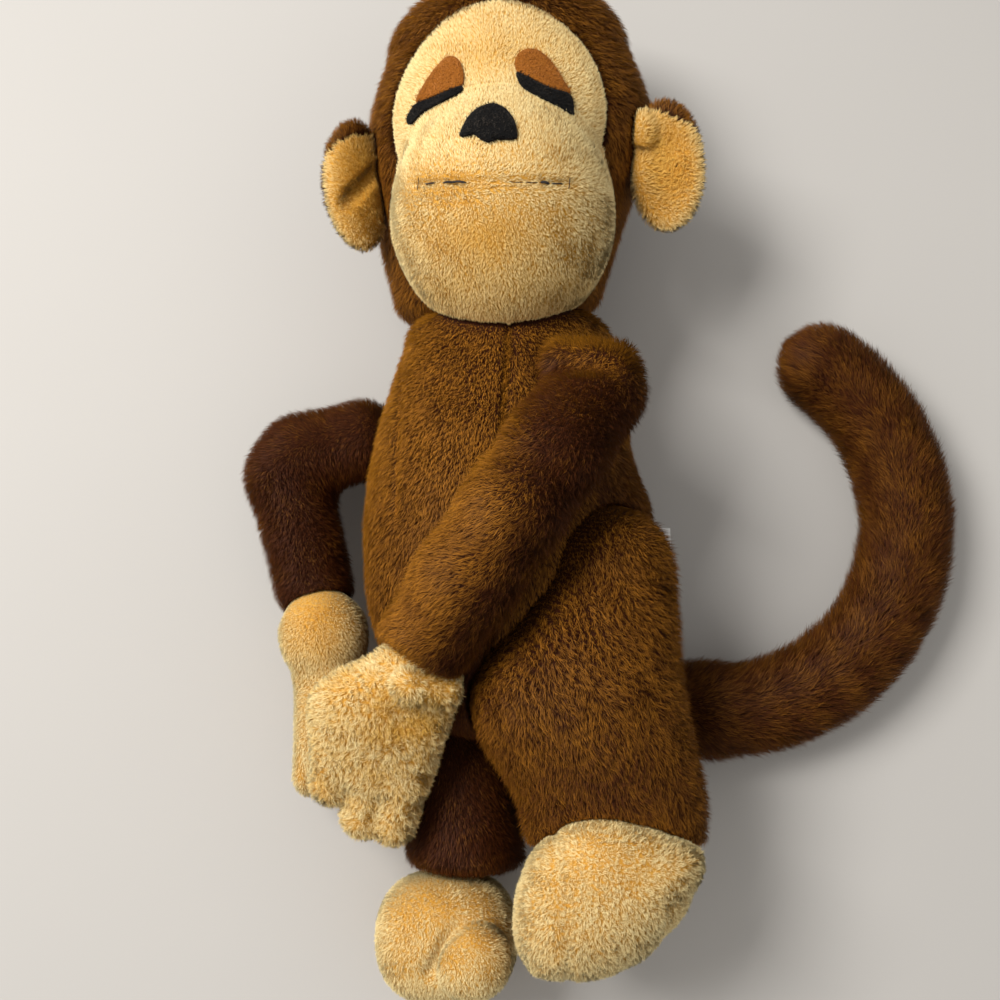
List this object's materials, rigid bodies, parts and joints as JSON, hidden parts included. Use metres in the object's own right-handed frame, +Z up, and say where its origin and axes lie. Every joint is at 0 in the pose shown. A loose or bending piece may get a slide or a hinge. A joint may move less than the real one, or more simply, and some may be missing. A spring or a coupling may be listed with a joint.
{
  "type": "plush monkey",
  "caption": "Stuffed plush monkey with cream face, hands and feet, sleepy felt eyes and a curled tail, lying on its back with its hands clasped; limbs, ears, head and tail turn.",
  "frame": {"origin": "on the flat of the back, where the torso rests on the table, in the torso's middle", "axes": "+Z up out of the belly, +Y from the seat to the crown, +X to the monkey's left"},
  "size_m": [0.2416, 0.3398, 0.1052],
  "materials": {
    "brown_plush": "short pile cloth, brushed one way",
    "cream_plush": "short pile cloth, brushed one way",
    "tan_felt": "pressed felt, matt",
    "black_felt": "pressed felt, matt",
    "fibre_fill": "loose polyester fibre",
    "dark_thread": "sewing thread",
    "white_satin": "woven satin tape, bare",
    "patch_nylon": "hook-and-loop nylon"
  },
  "bodies": {
    "torso_body": {"torso_front_right": "brown_plush", "torso_front_left": "brown_plush", "torso_back": "brown_plush", "torso_stuffing": "fibre_fill", "side_label": "white_satin"},
    "head_body": {"hood_right": "brown_plush", "hood_left": "brown_plush", "face_panel": "cream_plush", "muzzle_upper": "cream_plush", "muzzle_chin": "cream_plush", "head_stuffing": "fibre_fill", "nose": "black_felt", "mouth_thread": "dark_thread", "eyelid_right": "tan_felt", "eyelid_left": "tan_felt", "eyelash_right": "black_felt", "eyelash_left": "black_felt"},
    "right_ear_body": {"ear_right_front": "cream_plush", "ear_right_back": "brown_plush"},
    "left_ear_body": {"ear_left_front": "cream_plush", "ear_left_back": "brown_plush"},
    "right_arm_upper": {"right_upper_arm": "brown_plush", "right_upper_arm_stuffing": "fibre_fill"},
    "right_arm_lower": {"right_forearm": "brown_plush", "right_forearm_stuffing": "fibre_fill", "right_hand_palm": "cream_plush", "right_hand_back": "cream_plush", "right_hand_stuffing": "fibre_fill", "palm_loop_patch": "patch_nylon"},
    "left_arm_upper": {"left_upper_arm": "brown_plush", "left_upper_arm_stuffing": "fibre_fill"},
    "left_arm_lower": {"left_forearm": "brown_plush", "left_forearm_stuffing": "fibre_fill", "left_hand_back": "cream_plush", "left_hand_palm": "cream_plush", "left_hand_stuffing": "fibre_fill", "palm_hook_patch": "patch_nylon"},
    "right_leg_body": {"right_leg": "brown_plush", "right_leg_stuffing": "fibre_fill", "right_foot_top": "cream_plush", "right_foot_sole": "cream_plush", "right_foot_stuffing": "fibre_fill"},
    "left_leg_body": {"left_leg": "brown_plush", "left_leg_stuffing": "fibre_fill", "left_foot_top": "cream_plush", "left_foot_sole": "cream_plush", "left_foot_stuffing": "fibre_fill"},
    "tail_root_body": {"tail_base": "brown_plush", "tail_base_stuffing": "fibre_fill"},
    "tail_tip_body": {"tail_end": "brown_plush", "tail_end_stuffing": "fibre_fill"}
  },
  "joints": [
    {"name": "neck_turn", "type": "hinge", "parent": "torso_body", "child": "head_body", "pos_m": [0, 0.058, 0.0367], "axis": [0, 1, 0], "range_deg": [-30, 30], "stiffness_Nm_per_rad": 0.12},
    {"name": "right_ear_fold", "type": "hinge", "parent": "head_body", "child": "right_ear_body", "pos_m": [-0.04068, 0.10881, 0.04515], "axis": [-0.0452, 0.9895, 0.1376], "range_deg": [-15, 15], "stiffness_Nm_per_rad": 0.006},
    {"name": "left_ear_fold", "type": "hinge", "parent": "head_body", "child": "left_ear_body", "pos_m": [0.03878, 0.1118, 0.054], "axis": [-0.0452, 0.9895, 0.1376], "range_deg": [-15, 15], "stiffness_Nm_per_rad": 0.006},
    {"name": "right_shoulder", "type": "hinge", "parent": "torso_body", "child": "right_arm_upper", "pos_m": [-0.05013, 0.029, 0.0245], "axis": [0, 0, 1], "range_deg": [-40, 0], "stiffness_Nm_per_rad": 0.02},
    {"name": "right_elbow_bend", "type": "hinge", "parent": "right_arm_upper", "child": "right_arm_lower", "pos_m": [-0.07413, 0.021, 0.0245], "axis": [0, 0, 1], "range_deg": [-75, 0], "stiffness_Nm_per_rad": 0.01},
    {"name": "left_shoulder", "type": "hinge", "parent": "torso_body", "child": "left_arm_upper", "pos_m": [0.0255, 0.032, 0.07889], "axis": [0, 1, 0], "range_deg": [0, 80], "stiffness_Nm_per_rad": 0.01},
    {"name": "left_elbow_bend", "type": "hinge", "parent": "left_arm_upper", "child": "left_arm_lower", "pos_m": [0.00034, -0.00531, 0.09105], "axis": [-0.829, 0.5592, 0], "range_deg": [0, 50], "stiffness_Nm_per_rad": 0.006},
    {"name": "right_hip_roll", "type": "hinge", "parent": "torso_body", "child": "right_leg_body", "pos_m": [-0.021, -0.047, 0.0225], "axis": [0.1122, -0.9937, 0], "range_deg": [-10, 30], "stiffness_Nm_per_rad": 0.04},
    {"name": "left_hip_swing", "type": "hinge", "parent": "torso_body", "child": "left_leg_body", "pos_m": [0.0275, -0.022, 0.0566], "axis": [0, 0, 1], "range_deg": [0, 25], "stiffness_Nm_per_rad": 0.04},
    {"name": "tail_root", "type": "hinge", "parent": "torso_body", "child": "tail_root_body", "pos_m": [0.02995, -0.06, 0.0149], "axis": [0, 0, 1], "range_deg": [-20, 6], "stiffness_Nm_per_rad": 0.03},
    {"name": "tail_bend", "type": "hinge", "parent": "tail_root_body", "child": "tail_tip_body", "pos_m": [0.13614, -0.00867, 0.0149], "axis": [0, 0, 1], "range_deg": [-30, 30], "stiffness_Nm_per_rad": 0.01}
  ]
}
